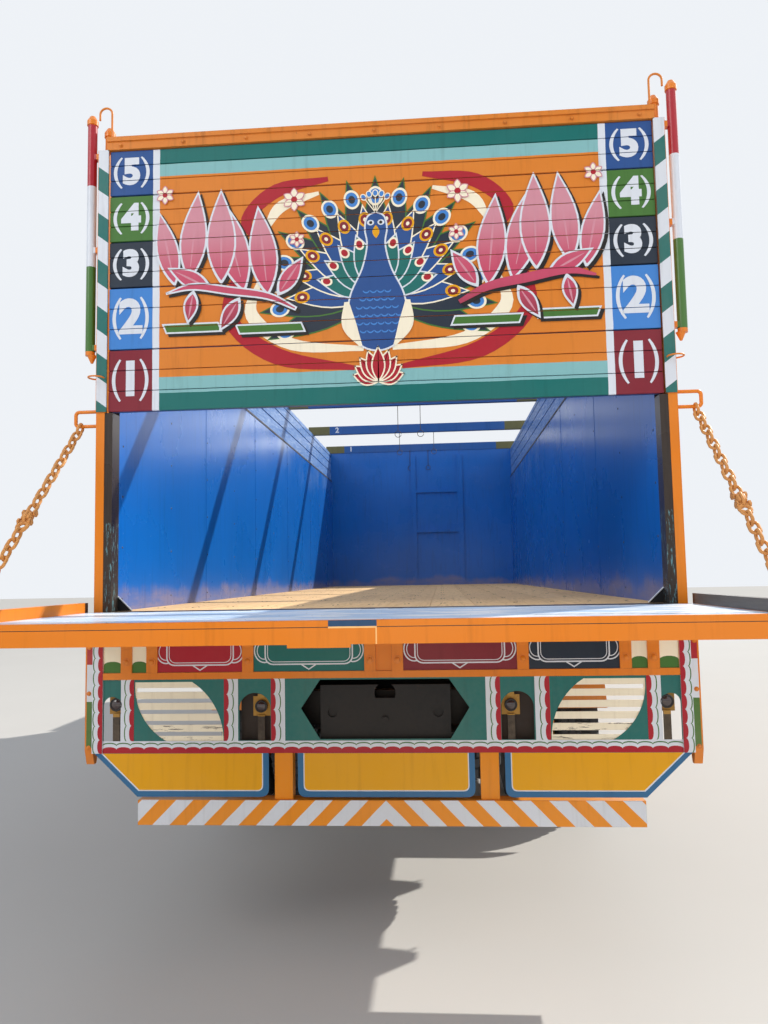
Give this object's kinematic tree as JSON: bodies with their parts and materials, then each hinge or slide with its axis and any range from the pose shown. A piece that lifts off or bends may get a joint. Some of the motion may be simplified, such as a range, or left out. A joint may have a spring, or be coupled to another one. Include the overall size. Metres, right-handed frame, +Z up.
{
  "type": "decorated cargo truck",
  "caption": "High-sided open cargo truck with painted tail boards, a drop tailgate held level by chains, and a forward cab.",
  "frame": {"origin": "on the ground under the middle of the whole truck with its tailgate down", "axes": "+Y forward, +X to the right as seen from behind, +Z up"},
  "size_m": [2.611, 9.69, 3.5485],
  "materials": {
    "orange_paint": "satin",
    "blue_paint": "gloss",
    "blue_timber": "matt",
    "floor_timber": "matt",
    "board_paint": "gloss",
    "chassis_black": "satin",
    "cast_parts": "matt",
    "tyre_rubber": "matt",
    "rim_paint": "satin",
    "cab_paint": "gloss",
    "crown_paint": "gloss",
    "trim_black": "matt",
    "glass": "clear",
    "lamp": "gloss",
    "seat_cover": "matt",
    "tail_paint": "gloss",
    "yellow_paint": "gloss",
    "chain_paint": "satin",
    "tank_paint": "satin",
    "mirror_glass": "polished",
    "bright_steel": "polished"
  },
  "bodies": {
    "chassis": {"chassis_frame": "chassis_black", "leaf_springs": "cast_parts", "front_axle": "cast_parts", "rear_axle": "cast_parts", "propeller_shaft": "chassis_black", "engine_block": "cast_parts", "radiator": "chassis_black", "fuel_tank": "tank_paint", "air_tanks": "chassis_black", "battery_box": "chassis_black", "silencer": "cast_parts", "spare_wheel": "tyre_rubber", "mudguards": "cab_paint", "side_guards": "yellow_paint", "front_bumper": "yellow_paint", "cab_front": "cab_paint", "cab_sides": "cab_paint", "cab_back": "cab_paint", "cab_floor": "chassis_black", "cab_roof": "cab_paint", "windscreen": "glass", "grille": "bright_steel", "headlamps": "lamp", "crown_board": "crown_paint", "seats": "seat_cover", "dashboard": "trim_black", "steering_wheel": "trim_black", "mirrors": "mirror_glass", "body_bearers": "orange_paint", "floor_planks": "floor_timber", "side_walls": "blue_paint", "upper_planks": "blue_timber", "bulkhead": "blue_paint", "upper_boards": "board_paint", "rear_posts": "orange_paint", "corner_pipes": "orange_paint", "top_rail": "orange_paint", "crossbars": "blue_timber", "rear_sill": "orange_paint", "rear_panel": "tail_paint", "tail_lamps": "lamp", "lower_boards": "yellow_paint", "underrun_beam": "yellow_paint"},
    "steering_left": {"knuckle_left": "cast_parts"},
    "front_wheel_left": {"front_rim_left": "rim_paint", "front_tyre_left": "tyre_rubber"},
    "rear_wheel_left": {"rear_rims_left": "rim_paint", "rear_tyres_left": "tyre_rubber"},
    "cab_door_left": {"door_left": "cab_paint"},
    "hung_chain_left": {"chain_left": "chain_paint"},
    "steering_right": {"knuckle_right": "cast_parts"},
    "front_wheel_right": {"front_rim_right": "rim_paint", "front_tyre_right": "tyre_rubber"},
    "rear_wheel_right": {"rear_rims_right": "rim_paint", "rear_tyres_right": "tyre_rubber"},
    "cab_door_right": {"door_right": "cab_paint"},
    "hung_chain_right": {"chain_right": "chain_paint"},
    "gate": {"tailgate": "orange_paint"},
    "tie_rod": {"track_rod": "chassis_black"}
  },
  "joints": [
    {"name": "steer_left", "type": "hinge", "parent": "chassis", "child": "steering_left", "pos_m": [-0.83, 3.495, 0.515], "axis": [0, 0, 1], "range_deg": [-35, 35]},
    {"name": "front_spin_left", "type": "hinge", "parent": "steering_left", "child": "front_wheel_left", "pos_m": [-0.975, 3.495, 0.515], "axis": [1, 0, 0], "continuous": true},
    {"name": "rear_spin_left", "type": "hinge", "parent": "chassis", "child": "rear_wheel_left", "pos_m": [-0.9, -1.705, 0.515], "axis": [1, 0, 0], "continuous": true},
    {"name": "door_swing_left", "type": "hinge", "parent": "chassis", "child": "cab_door_left", "pos_m": [-1.159, 4.565, 1.9], "axis": [0, 0, -1], "range_deg": [0, 70]},
    {"name": "chain_swing_left", "type": "hinge", "parent": "chassis", "child": "hung_chain_left", "pos_m": [-1.272, -3.983, 2.134], "axis": [1, 0, 0], "range_deg": [0, 45.6]},
    {"name": "steer_right", "type": "hinge", "parent": "chassis", "child": "steering_right", "pos_m": [0.83, 3.495, 0.515], "axis": [0, 0, 1], "range_deg": [-35, 35]},
    {"name": "front_spin_right", "type": "hinge", "parent": "steering_right", "child": "front_wheel_right", "pos_m": [0.975, 3.495, 0.515], "axis": [1, 0, 0], "continuous": true},
    {"name": "rear_spin_right", "type": "hinge", "parent": "chassis", "child": "rear_wheel_right", "pos_m": [0.9, -1.705, 0.515], "axis": [1, 0, 0], "continuous": true},
    {"name": "door_swing_right", "type": "hinge", "parent": "chassis", "child": "cab_door_right", "pos_m": [1.159, 4.565, 1.9], "axis": [0, 0, 1], "range_deg": [0, 70]},
    {"name": "chain_swing_right", "type": "hinge", "parent": "chassis", "child": "hung_chain_right", "pos_m": [1.272, -3.983, 2.134], "axis": [1, 0, 0], "range_deg": [0, 45.6]},
    {"name": "gate_swing", "type": "hinge", "parent": "chassis", "child": "gate", "pos_m": [0, -4.0455, 1.3145], "axis": [-1, 0, 0], "range_deg": [0, 90]},
    {"name": "tie_rod_swing", "type": "hinge", "parent": "steering_left", "child": "tie_rod", "pos_m": [-0.81, 3.315, 0.431], "axis": [0, 0, 1], "range_deg": [-35, 35]}
  ],
  "couplings": [
    {"joint": "steer_right", "follows": "steer_left", "ratio": 1},
    {"joint": "tie_rod_swing", "follows": "steer_left", "ratio": -1},
    {"joint": "chain_swing_left", "follows": "gate_swing", "ratio": 0.50394},
    {"joint": "chain_swing_right", "follows": "gate_swing", "ratio": 0.50394}
  ]
}
